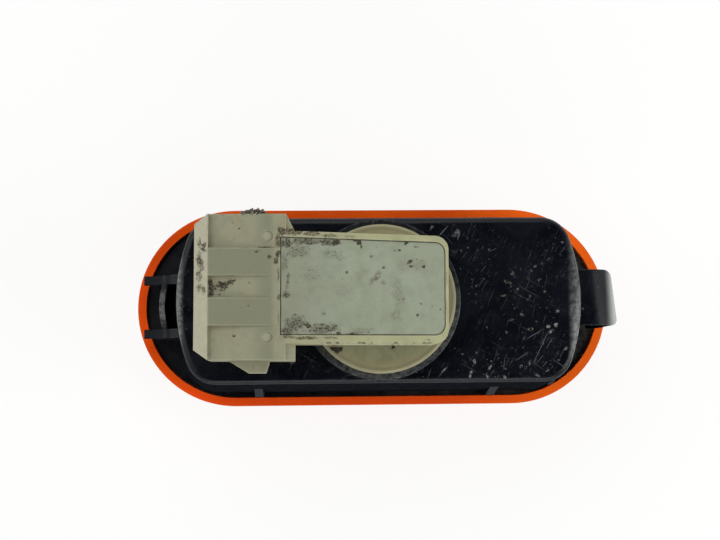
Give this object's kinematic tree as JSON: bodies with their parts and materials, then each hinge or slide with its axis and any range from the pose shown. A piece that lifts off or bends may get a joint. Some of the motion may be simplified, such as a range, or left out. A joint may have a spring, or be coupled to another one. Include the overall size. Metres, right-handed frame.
{
  "type": "front side indicator lamp",
  "caption": "Oval amber indicator lamp for a car wing, with a black clip-in housing and a grey twist-in bulb holder with a side plug socket.",
  "frame": {"origin": "middle of the lens rim's rear face, the plane that seats on the car's panel", "axes": "+X along the lamp's length towards the spring tongue, +Z out of the back of the lamp along the bayonet's axis, so the lens faces -Z"},
  "size_m": [0.085, 0.0354, 0.0461],
  "materials": {
    "amber_lens": "clear amber moulded plastic, polished",
    "black_plastic": "satin black moulded plastic, scuffed and dusty",
    "beige_plastic": "beige-grey moulded plastic, soiled",
    "grey_plastic": "cool grey moulded plastic, soiled",
    "seal_rubber": "black rubber",
    "contact_brass": "tinned brass strip",
    "bulb_glass": "clear glass",
    "lead_wire": "dull nickel wire",
    "filament_wire": "bare tungsten"
  },
  "bodies": {
    "lamp_body": {"housing": "black_plastic", "lens": "amber_lens"},
    "holder": {"bulb_holder": "beige_plastic", "holder_cover": "grey_plastic", "holder_seal": "seal_rubber", "contact_live": "contact_brass", "contact_earth": "contact_brass", "bulb_glass": "bulb_glass", "bulb_lead_live": "lead_wire", "bulb_lead_earth": "lead_wire", "bulb_filament": "filament_wire"}
  },
  "joints": [
    {"name": "holder_twist", "type": "hinge", "parent": "lamp_body", "child": "holder", "pos_m": [0, 0, 0.0215], "axis": [0, 0, 1], "range_deg": [0, 46]}
  ]
}
